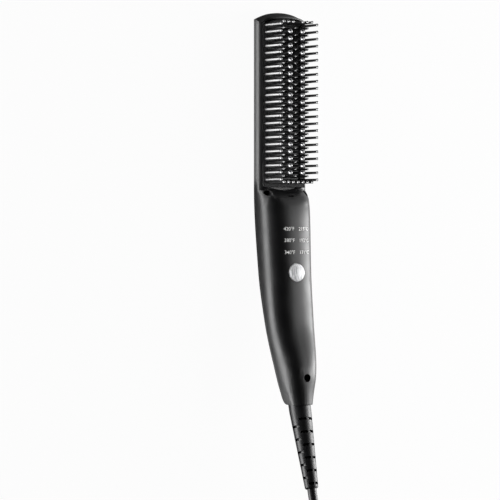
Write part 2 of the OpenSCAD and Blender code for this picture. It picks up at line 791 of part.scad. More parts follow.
module heater_leads() {
  color("#e8e4dc") {
    tube(placed([[3, heater_end + 1.3, tile_top - lead_d / 2], [3, heater_end + 4, 0.6],
      [3.4, heater_end + 8, lead_low], [4, head_l, lead_low], [5, head_l + 5, 2.4],
      [6.2, board_s0 - 3, 8.4], [6.5, board_s0 + 1.5, lead_end]]), lead_d, 6);
    tube(placed([[0, heater_end + 7.4, film_top - 1], [0, heater_end + 10, lead_low],
      [0, head_l, lead_low], [1, head_l + 5, 2.6], [2.4, board_s0 - 3, 8.6],
      [2.6, board_s0 + 1.5, lead_end]]), lead_d, 6);
    tube(placed([[-3, heater_end + 1.2, strip_low - lead_d / 2 - 0.05], [-3.2, heater_end + 5, -1.2],
      [-4.4, fuse_s - 4, lead_low], [fuse_u, fuse_s - 1.7, fuse_n]]), lead_d, 6,
      undef, [0, -1, 0]);
    tube(placed([[fuse_u, fuse_s + fuse_l + 1.7, fuse_n], [-5.4, board_s0 + 1, 5.4],
      [-6, board_s0 + 3, lead_end]]), lead_d, 6, [0, -1, 0]);
  }
}

module control_board() {
  color("#1f5a38")
    difference() {
      block(-board_w / 2, board_w / 2, board_s0, board_s1, board_n, board_top);
      for (h = board_holes)
        upright(h[0], h[1], 2.2, 0, start_front, round_fn);
    }
}
module board_capacitor() {
  color("#c8b040")
    block(-7.6, 4, board_s1 - 11 * board_step, board_s1 - 5 * board_step,
      board_n - seat_gap - 6.4, board_n - seat_gap);
}
triac_end = board_s0 + 12.5 * board_step;
module board_triac() {
  color("#222222") {
    block(-4, 4, board_s0 + 7 * board_step, triac_end, board_n - seat_gap - 3, board_n - seat_gap);
    for (u = [-2.54, 0, 2.54])
      block(u - 0.4, u + 0.4, triac_end - eps, triac_end + 4, board_n - seat_gap - 1.9,
        board_n - seat_gap - 1.4);
    for (u = [-2.54, 0, 2.54])
      block(u - 0.4, u + 0.4, triac_end + 3.4, triac_end + 4, board_n - seat_gap - 1.9,
        board_n - seat_gap);
  }
}
module board_resistors() {
  color("#9a8a6a")
    for (k = [0:3])
      along(-8 + k * 2.6, board_s0 + 16.5 * board_step, board_n - seat_gap - 1.05, 2.1, 6);
}
plunger_d = 3.5;
button_skirt = 1;
switch_floor = board_top + 0.6;
plunger_low = switch_floor + button_travel + 0.3;
plunger_top = board_top + switch_h + 0.75;
module tact_switch() {
  color("#303234")
    difference() {
      block(-3, 3, button_s - 3, button_s + 3, board_top + seat_gap, board_top + switch_h);
      upright(0, button_s, plunger_d + 0.2, switch_floor, start_front, 32);
    }
}
module switch_plunger() {
  color("#b8a878")
    upright(0, button_s, plunger_d, plunger_low, plunger_top, 32);
}
module power_button() {
  stem_top = -wall - 0.45;
  stem_h = front(button_s) + stem_top - plunger_top - 0.15;
  dome_r = ((button_d / 2) ^ 2 + button_dome ^ 2) / (2 * button_dome);
  color("#b8bcc0")
    on_button() {
      intersection() {
        translate([0, 0, 0.2 + button_dome - dome_r])
          sphere(r = dome_r, $fn = 64);
        translate([0, 0, 0.2 - eps])
          cylinder(d = button_d, h = button_dome + 1, $fn = round_fn);
      }
      translate([0, 0, stem_top - button_skirt])
        cylinder(d = button_d, h = -stem_top + button_skirt + 0.2, $fn = round_fn);
      translate([0, 0, stem_top - button_skirt])
        cylinder(d = button_d + 2.4, h = button_skirt, $fn = round_fn);
      translate([0, 0, stem_top - button_skirt - max(stem_h - button_skirt, 0.2)])
        cylinder(d = 3, h = max(stem_h - button_skirt, 0.2) + eps, $fn = 32);
    }
}
module indicator_lamps() {
  color("#f4f4ee")
    for (s = lamp_stations)
      block(-0.8, 0.8, s - 0.8, s + 0.8, board_top + seat_gap, board_top + 0.7);
}
module light_guide() {
  color("#e8eef0") {
    for (s = lamp_stations)
      upright(0, s, 2.4, board_top + 0.8, front(s - inner_shift) - wall - 0.1, 24);
    block(-0.8, 0.8, lamp_stations[0], lamp_stations[2], board_top + 1, board_top + 1.8);
  }
}
module screw(u, s, seat, tip, shank_d, head_d, head_h) {
  translate([u, yof(s), zof(tip)])
    difference() {
      union() {
        cylinder(d = shank_d, h = seat - tip + head_h / 2, $fn = 32);
        translate([0, 0, seat - tip])
          cylinder(d = head_d, h = head_h, $fn = 32);
      }
      for (a = [0, 90])
        rotate([0, 0, a])
          translate([-head_d * 0.32, -head_d * 0.06, seat - tip + head_h * 0.5])
            cube([head_d * 0.64, head_d * 0.12, head_h]);
    }
}
module board_screws() {
  color("#9a9ca0")
    for (h = [board_holes[0], board_holes[3]])
      mirror([0, 0, 1])
        translate([0, 0, -2 * ridge_d])
          screw(h[0], h[1], -board_n + seat_gap, -board_top - 3, 1.7, 3.4, 1.2);
}
module shoulder_screws() {
  color("#2a2a2c")
    for (side = [-1, 1])
      screw(side * shoulder_u, shoulder_s, shoulder_seat + seat_gap, shoulder_pilot + 0.2,
        shoulder_shank_d, shoulder_hole_d - 0.4, 1.3);
}
module tail_screw() {
  color("#2a2a2c")
    screw(0, tail_screw_s, tail_seat + seat_gap, tail_pilot + 0.2, tail_shank_d,
      tail_hole_d - 0.6, 1.6);
}

// Swivel: a core behind the rib, two rings on its stub and the springs that touch them
stub_d = 6.4;
ring_d = 8.4;
ring_l = 1;
ring_starts = [0.5, 2.3];
stub_start = core_face + core_flange;
module swivel_core() {
  color("#3c3c40")
    on_exit() {
      translate([0, 0, -core_face - core_flange])
        cylinder(d = flange_d, h = core_flange, $fn = round_fn);
      translate([0, 0, -stub_start - core_stub])
        cylinder(d = stub_d, h = core_stub + eps, $fn = round_fn);
    }
}
module contact_rings() {
  color("#c9a44a")
    on_exit()
      for (z = ring_starts)
        translate([0, 0, -stub_start - z - ring_l])
          difference() {
            cylinder(d = ring_d, h = ring_l, $fn = round_fn);
            translate([0, 0, -1])
              cylinder(d = stub_d + 2 * eps, h = ring_l + 2, $fn = round_fn);
          }
}
holder_in = ring_d / 2 + 0.55;
module contact_holder() {
  color("#484a4c")
    on_exit()
      translate([0, 0, -stub_start - core_stub])
        difference() {
          cylinder(d = pocket_d - 0.1, h = core_stub - 0.2, $fn = round_fn);
          translate([0, 0, -1])
            cylinder(r = holder_in, h = core_stub + 2, $fn = round_fn);
        }
}
module contact_springs() {
  color("#d0a860")
    on_exit()
      for (side = [-1, 1], z = ring_starts)
        translate([side * (ring_d / 2 + 0.25) - 0.2, -0.45, -stub_start - z - ring_l])
          cube([0.4, 0.9, ring_l]);
}
module mains_leads() {
  color("#2e3a6a")
    for (side = [-1, 1])
      tube(placed([[side * 5.3, body_len - 12.2, exit_n - 3.3], [side * 5.6, body_len - 17, exit_n - 4.8],
        [side * 5.8, body_len - 25, 18], [side * 6, palm_s + 10, 15.6],
        [side * 5.6, board_s1 + 1, 14.7], [side * 5.4, board_s1 - 3, board_top + lead_d / 2 + 0.1]]),
        lead_d, 6);
}

// Strain relief: collar, neck and a slotted taper
relief_r0 = collar_d / 2;
relief_r1 = relief_end_d / 2;
taper_start = 4;
function relief_r(z) = mix(relief_r0, relief_r1, max(0, z - taper_start) / (relief_l - taper_start));
slot_levels = floor((relief_l - slot_start) / slot_pitch) + 1;
module slot(z, from, to) {
  translate([0, 0, z - slot_w / 2])
    rotate([0, 0, from])
      rotate_extrude(angle = to - from, $fn = round_fn)
        translate([relief_r(z) - slot_depth, 0])
          square([relief_r0, slot_w]);
}
module strain_relief() {
  color("#242426")
    on_exit()
      difference() {
        rotate_extrude($fn = round_fn)
          polygon([[0, -core_face + seat_gap], [neck_d / 2, -core_face + seat_gap],
            [neck_d / 2, -collar_in], [relief_r0, -collar_in], [relief_r0, taper_start],
            [relief_r(relief_l - 0.6), relief_l - 0.6], [relief_r1 - 0.6, relief_l], [0, relief_l]]);
        for (k = [0:slot_levels - 1], face = [90, 270], half = [-1, 1])
          slot(slot_start + k * slot_pitch, face + (half < 0 ? -52 : 6), face + (half < 0 ? -6 : 52));
        for (k = [0:slot_levels - 2], face = [0, 180])
          slot(slot_start + (k + 0.5) * slot_pitch, face - 38, face + 38);
      }
}

// Cord: it leaves along the exit axis, comes down over the hank and joins its top layer
hank_y = -242;
waist_lift = tie_t + 0.4;
out_lift = 2;
exit_dir = [0, -cos(exit_lean), sin(exit_lean)];
cord_exit = [0, -body_len / 2, zof(exit_n)] + (relief_l + seat_gap) * exit_dir;
outer_r = fold_r + column_p;
function level(k) = cord_d / 2 + (k - 1) * layer_h;
cord_start = [for (l = [0, 6, 12]) cord_exit + l * exit_dir];
lead_a = [21.1, -239, 28.8];
lead_b = [22.9, -246, 25.8];
cord_route = [[1.6, -194, 48], [4.6, -203, 46.6], [8.8, -212, 43], [13.3, -221, 38.4],
  [17.7, -230, 33.6], lead_a, lead_b, [23.6, -255, 23]];
hank_in = [outer_r, hank_y - fold_c + cord_d, level(layers) + 0.3];
hank_out = [fold_r, hank_y + fold_c - cord_d, level(layers) + out_lift];
module cord() {
  color("#202022")
    tube(concat(cord_start, cord_route, [hank_in]), cord_d, 10, exit_dir, [0, -1, 0]);
}

// Hank: the outer column goes down layer by layer, the inner one comes up again
fold_steps = 7;
run_steps = 5;
turns = 2 * layers - 1;
function ease(f) = f * f * (3 - 2 * f);
function mix(a, b, f) = a + (b - a) * f;
function layer_of(j) = j < layers ? layers - j : j - layers + 2;
function far_r(j) = j < layers ? outer_r : fold_r;
function near_r(j) = j < layers - 1 ? outer_r : fold_r;
function at_waist(f) = (1 - cos(360 * f)) / 2;
function drawn(r, f) = r - waist * at_waist(f);
function far_fold(j) = [for (k = [0:fold_steps - 1]) let (a = -180 * k / fold_steps)
  [far_r(j) * cos(a), hank_y - fold_c + far_r(j) * sin(a), level(layer_of(j))]];
function run_back(j) = [for (k = [0:run_steps - 1]) let (f = k / run_steps)
  [-drawn(mix(far_r(j), near_r(j), ease(f)), f), hank_y - fold_c + 2 * fold_c * f,
    level(layer_of(j)) + waist_lift * at_waist(f)]];
function near_fold(j) = [for (k = [0:fold_steps - 1]) let (a = 180 - 180 * k / fold_steps)
  [near_r(j) * cos(a), hank_y + fold_c + near_r(j) * sin(a),
    level(layer_of(j)) + (j < turns - 1 ? 0 : out_lift * ease(k / fold_steps))]];
function run_out(j) = [for (k = [0:run_steps - 1]) let (f = k / run_steps)
  [drawn(near_r(j), f), hank_y + fold_c - 2 * fold_c * f,
    level(mix(layer_of(j), layer_of(j + 1), ease(min(1, 1.15 * f)))) + waist_lift * at_waist(f)]];
hank_route = concat([hank_in],
  [for (j = [0:turns - 1]) each concat(far_fold(j), run_back(j), near_fold(j),
    j < turns - 1 ? run_out(j) : [])],
  [[fold_r, hank_y + fold_c, level(layers) + out_lift], hank_out]);
module cord_hank() {
  color("#202022")
    tube(hank_route, cord_d, 6, [0, -1, 0], [0, -1, 0]);
}
function length_of(p) = [for (i = 0, l = 0; i < len(p); i = i + 1,
  l = l + (i < len(p) ? norm(p[i] - p[i - 1]) : 0)) l][len(p) - 1];
function to_line(p, a, b) =
  let (d = b - a, t = max(0, min(1, (p - a) * d / (d * d))))
  norm(p - a - t * d);
least_gap = min([for (i = [0:len(hank_route) - 1], j = [0:len(hank_route) - 2])
  if (abs(i - j) > 5) to_line(hank_route[i], hank_route[j], hank_route[j + 1])]) - cord_d;

// Tail of the cord, up to the plug that lies on the far folds
plug_x = 12;
plug_z = level(layers) + cord_d / 2 + 0.3 + plug_t / 2;
tail_end = [plug_x, -258, plug_z];
tail_a = [14.3, -238.5, 28];
tail_b = [12.8, -245.5, 30.4];
tail_route = [[16.6, -225, 24.1], [15.6, -231.5, 25.9], tail_a, tail_b, [plug_x, -252, plug_z]];
module cord_tail() {
  color("#202022")
    tube(concat([hank_out], tail_route, [tail_end]), cord_d, 10, [0, -1, 0], [0, -1, 0]);
}

// Tie: a band pulled round every strand at the waist
module strand_outline(grow) {
  offset(r = grow)
    hull() {
      for (x = [-1, 1], k = [1, x < 0 ? layers : layers - 0.5])
        translate([x * (outer_r - waist), level(k) + waist_lift])
          circle(d = cord_d, $fn = 32);
      for (p = [lead_a, lead_b, tail_a, tail_b])
        translate([p[0], p[2]])
          circle(d = cord_d, $fn = 32);
    }
}
module hank_tie() {
  color("#2a2a2c")
    translate([0, hank_y + tie_w / 2, 0])
      rotate([90, 0, 0])
        linear_extrude(tie_w)
          difference() {
            strand_outline(0.4 + tie_t);
            strand_outline(0.4);
          }
}

// Plug: a slotted taper, a waisted body and two blades
module on_plug() {
  translate(tail_end - [0, seat_gap, 0])
    rotate([90, 0, 0])
      children();
}
module plug_relief() {
  color("#202022")
    on_plug()
      rotate_extrude($fn = 32)
        polygon([[0, 0], [3.3, 0], [3.7, 0.6], [5, plug_relief_l], [0, plug_relief_l]]);
}
module plug_body() {
  back = plug_w * 0.58;
  color("#242426")
    on_plug()
      translate([0, 0, plug_relief_l + seat_gap])
        intersection() {
          rotate([90, 0, 0])
            linear_extrude(big, center = true)
              polygon([[-back / 2, 0], [back / 2, 0], [plug_w * 0.42, plug_l * 0.3],
                [plug_w * 0.43, plug_l * 0.62], [plug_w / 2, plug_l * 0.82], [plug_w / 2, plug_l],
                [-plug_w / 2, plug_l], [-plug_w / 2, plug_l * 0.82], [-plug_w * 0.43, plug_l * 0.62],
                [-plug_w * 0.42, plug_l * 0.3]]);
          rotate([0, 90, 0])
            linear_extrude(big, center = true)
              polygon([[0, -plug_t * 0.36], [0, plug_t * 0.36], [-plug_l * 0.3, plug_t * 0.5],
                [-plug_l, plug_t * 0.5], [-plug_l, -plug_t * 0.5], [-plug_l * 0.3, -plug_t * 0.5]]);
        }
}
module plug_blades() {
  color("#c8ccd0")
    on_plug()
      for (side = [-1, 1])
        translate([side * blade_pitch / 2, 0, plug_relief_l + plug_l + 2 * seat_gap])
          difference() {
            translate([-blade_t / 2, -blade_w / 2, 0])
              cube([blade_t, blade_w, blade_l]);
            translate([0, 0, blade_l - 4])
              rotate([0, 90, 0])
                cylinder(d = 3.2, h = 4 * blade_t, center = true, $fn = 24);
          }
}

echo(least_gap = least_gap, teeth = tooth_count, tilt = front_tilt,
  cord_l = length_of(concat(cord_start, cord_route, [hank_in])), hank_l = length_of(hank_route),
  tail_l = length_of(concat([hank_out], tail_route, [tail_end])));

rear_cover();
front_housing();
comb_guard();
heat_comb();
ball_tips();
heat_carrier();
ptc_heater();
electrode_strips();
insulation_film();
heater_clip();
heat_shield();
thermistor();
thermal_fuse();
heater_leads();
control_board();
board_capacitor();
board_triac();
board_resistors();
tact_switch();
switch_plunger();
power_button();
indicator_lamps();
light_guide();
board_screws();
shoulder_screws();
tail_screw();
swivel_core();
contact_rings();
contact_holder();
contact_springs();
mains_leads();
strain_relief();
cord();
cord_hank();
cord_tail();
hank_tie();
plug_relief();
plug_body();
plug_blades();
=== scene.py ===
import json
import math

import bmesh
import bpy
from mathutils import Matrix, Vector
from mathutils.bvhtree import BVHTree


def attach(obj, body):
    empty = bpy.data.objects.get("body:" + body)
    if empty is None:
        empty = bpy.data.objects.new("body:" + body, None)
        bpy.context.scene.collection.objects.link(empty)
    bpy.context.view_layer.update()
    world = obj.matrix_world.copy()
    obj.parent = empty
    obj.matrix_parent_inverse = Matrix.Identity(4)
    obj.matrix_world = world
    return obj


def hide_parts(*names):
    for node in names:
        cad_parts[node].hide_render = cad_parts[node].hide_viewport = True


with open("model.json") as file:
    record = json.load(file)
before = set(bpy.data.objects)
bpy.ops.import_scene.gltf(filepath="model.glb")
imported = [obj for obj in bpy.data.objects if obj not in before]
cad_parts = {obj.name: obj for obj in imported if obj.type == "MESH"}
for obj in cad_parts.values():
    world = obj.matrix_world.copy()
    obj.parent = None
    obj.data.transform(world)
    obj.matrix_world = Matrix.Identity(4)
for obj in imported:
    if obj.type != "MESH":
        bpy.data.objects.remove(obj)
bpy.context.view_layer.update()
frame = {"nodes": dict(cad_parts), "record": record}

# Sizes in millimetres, the same as in the part's source
MM = 0.001
BODY_LEN = 240
HEAD_L = 108
TAIL_S = 224
RIDGE_D = 6.5
EXIT_LEAN = math.radians(15)
EXIT_N = 23.4
RELIEF_L = 52.05
CORD_D = 5.7


def y_of(s):
    """Place along the brush for a distance from the tip."""
    return BODY_LEN / 2 - s


def z_of(n):
    """Height for a rise above the side edges of the head."""
    return RIDGE_D + n


# Camera
VIEW_TURN = math.radians(33)
CAM_DISTANCE = 1900
PIXEL = 0.615
CENTRE_S = 145.8
SIDE_SHIFT = -17.3
PICTURE = 500
SENSOR = 36
NEAR, FAR = 0.1, 20

back = Vector((-math.sin(VIEW_TURN), 0, math.cos(VIEW_TURN)))
up = Vector((0, 1, 0))
right = up.cross(back)
aim = Vector((0, y_of(CENTRE_S), z_of(0))) + right * SIDE_SHIFT
camera = bpy.data.objects.new("camera", bpy.data.cameras.new("camera"))
bpy.context.collection.objects.link(camera)
camera.data.sensor_width = SENSOR
camera.data.lens = SENSOR * CAM_DISTANCE / (PICTURE * PIXEL)
camera.data.clip_start = NEAR
camera.data.clip_end = FAR
camera.matrix_world = Matrix.Translation((aim + back * CAM_DISTANCE) * MM) @ Matrix(
    (right, up, back)
).transposed().to_4x4()
bpy.context.scene.camera = camera


# Cord: out of the strain relief, over the hank, round it and up to the plug
LAYER_H = 6.35
COLUMN_P = 6.5
FOLD_R = 17.1
FOLD_C = 28.8
WAIST = 4
LAYERS = 4
HANK_Y = -242
WAIST_LIFT = 1.6
OUT_LIFT = 2
OUTER_R = FOLD_R + COLUMN_P
TURNS = 2 * LAYERS - 1
FOLD_STEPS = 14
RUN_STEPS = 10
CLIMB_PACE = 1.15
REST_GAP = 0.3
PLUG_X = 12
PLUG_T = 14
TUBE_STEPS = 6


def mix(a, b, f):
    """Value a share f of the way from a to b."""
    return a + (b - a) * f


def ease(f):
    """A share from 0 to 1 that starts and ends level."""
    return f * f * (3 - 2 * f)


def level(k):
    """Height of the middle of a layer of the hank."""
    return CORD_D / 2 + (k - 1) * LAYER_H


def at_waist(f):
    """How much the tie acts at a share of a straight run: fully in its middle, not at its ends."""
    return (1 - math.cos(2 * math.pi * f)) / 2


def drawn(r, f):
    """Distance of a run from the middle of the hank, drawn in by the tie."""
    return r - WAIST * at_waist(f)


def hank_route():
    """The turns of the hank: down the outer column and up the inner one."""
    layer = [LAYERS - j if j < LAYERS else j - LAYERS + 2 for j in range(TURNS + 1)]
    far = [OUTER_R if j < LAYERS else FOLD_R for j in range(TURNS)]
    near = [OUTER_R if j < LAYERS - 1 else FOLD_R for j in range(TURNS)]
    route = []
    for j in range(TURNS):
        last = j == TURNS - 1
        for k in range(FOLD_STEPS):
            a = -math.pi * k / FOLD_STEPS
            y = HANK_Y - FOLD_C + far[j] * math.sin(a)
            route.append((far[j] * math.cos(a), y, level(layer[j])))
        for k in range(RUN_STEPS):
            f = k / RUN_STEPS
            route.append((
                -drawn(mix(far[j], near[j], ease(f)), f),
                HANK_Y - FOLD_C + 2 * FOLD_C * f,
                level(layer[j]) + WAIST_LIFT * at_waist(f),
            ))
        for k in range(FOLD_STEPS):
            f = k / FOLD_STEPS
            a = math.pi * (1 - f)
            rise = OUT_LIFT * ease(f) if last else 0
            y = HANK_Y + FOLD_C + near[j] * math.sin(a)
            route.append((near[j] * math.cos(a), y, level(layer[j]) + rise))
        if last:
            break
        for k in range(RUN_STEPS):
            f = k / RUN_STEPS
            rise = mix(layer[j], layer[j + 1], ease(min(1, CLIMB_PACE * f)))
            route.append((
                drawn(near[j], f),
                HANK_Y + FOLD_C - 2 * FOLD_C * f,
                level(rise) + WAIST_LIFT * at_waist(f),
            ))
    return route


def smooth_route(points, steps):
    """Points on a smooth curve through the given points."""
    points = [Vector(p) for p in points]
    ends = [2 * points[0] - points[1]] + points + [2 * points[-1] - points[-2]]
    out = []
    for i in range(1, len(ends) - 2):
        p0, p1, p2, p3 = ends[i - 1:i + 3]
        for k in range(steps):
            t = k / steps
            out.append(0.5 * (
                2 * p1 + (p2 - p0) * t + (2 * p0 - 5 * p1 + 4 * p2 - p3) * t * t
                + (3 * p1 - p0 - 3 * p2 + p3) * t ** 3
            ))
    return out + [points[-1]]


exit_dir = Vector((0, -math.cos(EXIT_LEAN), math.sin(EXIT_LEAN)))
cord_exit = Vector((0, -BODY_LEN / 2, z_of(EXIT_N))) + exit_dir * RELIEF_L
plug_z = level(LAYERS) + CORD_D / 2 + REST_GAP + PLUG_T / 2
lead_in = [cord_exit + exit_dir * d for d in (0, 6, 12)] + [
    (1.6, -194, 48), (4.6, -203, 46.6), (8.8, -212, 43), (13.3, -221, 38.4), (17.7, -230, 33.6),
    (21.1, -239, 28.8), (22.9, -246, 25.8), (23.6, -255, 23),
    (OUTER_R, HANK_Y - FOLD_C + CORD_D, level(LAYERS) + REST_GAP),
]
lead_out = [
    (FOLD_R, HANK_Y + FOLD_C, level(LAYERS) + OUT_LIFT),
    (FOLD_R, HANK_Y + FOLD_C - CORD_D, level(LAYERS) + OUT_LIFT),
    (16.6, -225, 24.1), (15.6, -231.5, 25.9), (14.3, -238.5, 28), (12.8, -245.5, 30.4),
    (PLUG_X, -252, plug_z), (PLUG_X, -258, plug_z),
]
route = smooth_route(lead_in, 3) + [Vector(p) for p in hank_route()] + smooth_route(lead_out, 3)


def curve_piece(name, points, diameter):
    """A round tube along points, as a curve of one open spline whose points carry its radius."""
    data = bpy.data.curves.new(name, "CURVE")
    data.dimensions = "3D"
    data.bevel_depth = 1.0
    data.bevel_resolution = TUBE_STEPS
    data.use_fill_caps = True
    spline = data.splines.new("POLY")
    spline.points.add(len(points) - 1)
    for p, q in zip(spline.points, points):
        p.co = (*[c * MM for c in q], 1)
        p.radius = diameter / 2 * MM
    spline.use_smooth = True
    obj = bpy.data.objects.new(name, data)
    bpy.context.collection.objects.link(obj)
    return obj


mains_cord = curve_piece("mains_cord", route, CORD_D)
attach(mains_cord, "brush")
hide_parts("cord", "cord_hank", "cord_tail")


# Materials
def linear(code):
    """Linear colour from an sRGB hex code."""
    values = [int(code[i:i + 2], 16) / 255 for i in (1, 3, 5)]
    return [v / 12.92 if v <= 0.04045 else ((v + 0.055) / 1.055) ** 2.4 for v in values] + [1]


def add_node(tree, kind, inputs=(), **settings):
    """A new node, with its settings and its inputs: values, or sockets to link."""
    made = tree.nodes.new("ShaderNode" + kind)
    for key, value in settings.items():
        setattr(made, key, value)
    for key, value in dict(inputs).items():
        if isinstance(value, bpy.types.NodeSocket):
            tree.links.new(value, made.inputs[key])
        else:
            made.inputs[key].default_value = value
    return made


INPUTS = {
    "specular": "Specular IOR Level", "metallic": "Metallic", "transmission": "Transmission Weight",
    "coat": "Coat Weight", "coat_roughness": "Coat Roughness", "coat_ior": "Coat IOR",
}
GRAIN_STRENGTH = 0.6
GRAIN_DETAIL = 3
CLOUD_MM = 9
CLOUD_DETAIL = 4
CLOUD_RANGE = (0.3, 0.7)
BEVEL_SAMPLES = 6


def surface(name, color, roughness, vary, grain_mm, grain_depth, edge_mm=0.0, **extra):
    """A material with a fine grain, clouds in its gloss and, with edge_mm, softened edges."""
    mat = bpy.data.materials.new(name)
    mat.use_nodes = True
    tree = mat.node_tree
    shader = tree.nodes["Principled BSDF"]
    shader.inputs["Base Color"].default_value = linear(color)
    shader.inputs["Roughness"].default_value = roughness
    for key, value in extra.items():
        shader.inputs[INPUTS[key]].default_value = value
    place = add_node(tree, "TexCoord").outputs["Object"]
    grain = add_node(tree, "TexNoise", {
        "Vector": place, "Scale": 1 / (grain_mm * MM), "Detail": GRAIN_DETAIL,
    })
    bump = {
        "Height": grain.outputs["Fac"], "Strength": GRAIN_STRENGTH, "Distance": grain_depth * MM,
    }
    if edge_mm:
        edges = add_node(tree, "Bevel", {"Radius": edge_mm * MM}, samples=BEVEL_SAMPLES)
        bump["Normal"] = edges.outputs["Normal"]
    cloud = add_node(tree, "TexNoise", {
        "Vector": place, "Scale": 1 / (CLOUD_MM * MM), "Detail": CLOUD_DETAIL,
    })
    spread = add_node(tree, "MapRange", {
        "Value": cloud.outputs["Fac"], "From Min": CLOUD_RANGE[0], "From Max": CLOUD_RANGE[1],
        "To Min": roughness - vary, "To Max": roughness + vary,
    })
    tree.links.new(spread.outputs["Result"], shader.inputs["Roughness"])
    tree.links.new(add_node(tree, "Bump", bump).outputs["Normal"], shader.inputs["Normal"])
    return mat


# Injection-moulded black ABS with a fine spark-eroded texture
housing = surface(
    "moulded_abs_matt_black", "#111113", roughness=0.38, vary=0.04,
    grain_mm=0.35, grain_depth=0.01, edge_mm=0.25, specular=0.9,
)
# Injection-moulded black nylon with a dull mould finish
guard = surface(
    "moulded_nylon_black", "#0b0b0c", roughness=0.6, vary=0.04,
    grain_mm=0.3, grain_depth=0.01, edge_mm=0.15, specular=0.25,
)
# A lit copy of the guard's nylon for its teeth, lighter and more reflective: a painted highlight
teeth_lit_copy = surface(
    "moulded_nylon_lit_copy", "#141416", roughness=0.34, vary=0.03,
    grain_mm=0.3, grain_depth=0.003, specular=1.0, coat=1.0, coat_roughness=0.3, coat_ior=3.0,
)
# Die-cast aluminium under a black ceramic coating
coating = surface(
    "ceramic_coated_aluminium", "#111112", roughness=0.32, vary=0.05,
    grain_mm=0.25, grain_depth=0.008, edge_mm=0.2, specular=0.9,
)
# A lit copy of the coating for the tips of the pins, lighter and more reflective: a painted
# highlight
pin_tips_lit_copy = surface(
    "ceramic_coating_lit_copy", "#19191b", roughness=0.3, vary=0.03,
    grain_mm=0.25, grain_depth=0.003, specular=1.0, coat=1.0, coat_roughness=0.25, coat_ior=3.0,
)
# Smooth moulded heat-proof polymer
ball_polymer = surface(
    "polished_peek_dark_grey", "#2a2a2e", roughness=0.3, vary=0.03,
    grain_mm=0.3, grain_depth=0.003, specular=1.0, coat=1.0, coat_roughness=0.25, coat_ior=3.0,
)
# Moulded black elastomer of the strain reliefs, the tie, the plug and the cord's sheath
rubber = surface(
    "moulded_pvc_matt_black", "#19191b", roughness=0.38, vary=0.05,
    grain_mm=0.4, grain_depth=0.012, edge_mm=0.15, specular=0.75,
)
# Black zinc-plated steel
screw_steel = surface(
    "black_zinc_steel", "#2c2d30", roughness=0.35, vary=0.05,
    grain_mm=0.4, grain_depth=0.006, metallic=1.0,
)
# Nickel-plated brass
nickel = surface(
    "nickel_plated_brass", "#c8c8c4", roughness=0.22, vary=0.04,
    grain_mm=0.5, grain_depth=0.003, edge_mm=0.1, metallic=1.0,
)
# White pad-printed ink
ink = surface(
    "pad_printed_white_ink", "#fafaf8", roughness=0.5, vary=0.05, grain_mm=0.3, grain_depth=0.004,
)
# Plain moulded plastic of inner pieces
inner = surface(
    "moulded_pbt_dark_grey", "#26282a", roughness=0.5, vary=0.05, grain_mm=0.4, grain_depth=0.02,
)
# Fired barium titanate tiles
ceramic = surface(
    "fired_ptc_ceramic", "#8c8478", roughness=0.7, vary=0.08, grain_mm=0.5, grain_depth=0.03,
)
# Stamped spring steel
spring = surface(
    "stamped_spring_steel", "#b0b2b4", roughness=0.35, vary=0.06,
    grain_mm=0.5, grain_depth=0.005, metallic=1.0,
)
# Stamped brass
brass = surface(
    "stamped_contact_brass", "#c9a44a", roughness=0.3, vary=0.05,
    grain_mm=0.4, grain_depth=0.004, metallic=1.0,
)
# Polyimide film and epoxy
amber = surface(
    "amber_polyimide_film", "#a8642a", roughness=0.3, vary=0.05, grain_mm=0.6, grain_depth=0.004,
)
# Silicone-sleeved leads
sleeve = surface(
    "silicone_sleeved_wire", "#c9c6bd", roughness=0.55, vary=0.05, grain_mm=0.4, grain_depth=0.01,
)
# Glass-fibre board with green solder mask
board = surface(
    "solder_masked_board", "#1f5a38", roughness=0.4, vary=0.05, grain_mm=0.8, grain_depth=0.01,
)
# Moulded epoxy case of a capacitor and resistors
epoxy = surface(
    "moulded_epoxy_ochre", "#b08a3a", roughness=0.4, vary=0.05, grain_mm=0.5, grain_depth=0.01,
)
# Clear moulded acrylic
clear = surface(
    "moulded_clear_acrylic", "#dfe6ea", roughness=0.15, vary=0.02,
    grain_mm=0.6, grain_depth=0.002, transmission=0.8,
)
# Satin silver paint on a moulded cap, with light and dark streaks painted into its colour as
# streaked reflections
silver = surface(
    "satin_silver_paint", "#d8d9db", roughness=0.42, vary=0.04,
    grain_mm=0.2, grain_depth=0.003, edge_mm=0.2, metallic=0.2,
)
# Streaks of painted reflection, turned and stretched across the cap
STREAK_TURN = 0.7
STREAK_SCALE = (1.6, 0.25, 1)
STREAK_DETAIL = 4
REFLECTION_STREAK_TONES = ((0.38, "#b4b5b8"), (0.58, "#f2f2f3"))
tree = silver.node_tree
turned = add_node(tree, "Mapping", {
    "Vector": add_node(tree, "TexCoord").outputs["Object"],
    "Rotation": (0, 0, STREAK_TURN), "Scale": STREAK_SCALE,
})
streaks = add_node(tree, "TexNoise", {
    "Vector": turned.outputs[0], "Scale": 1 / MM, "Detail": STREAK_DETAIL,
})
painted_reflection_ramp = add_node(tree, "ValToRGB", {"Fac": streaks.outputs["Fac"]})
for stop, (position, tone) in zip(painted_reflection_ramp.color_ramp.elements, REFLECTION_STREAK_TONES):
    stop.position = position
    stop.color = linear(tone)
tree.links.new(painted_reflection_ramp.outputs["Color"], tree.nodes["Principled BSDF"].inputs["Base Color"])

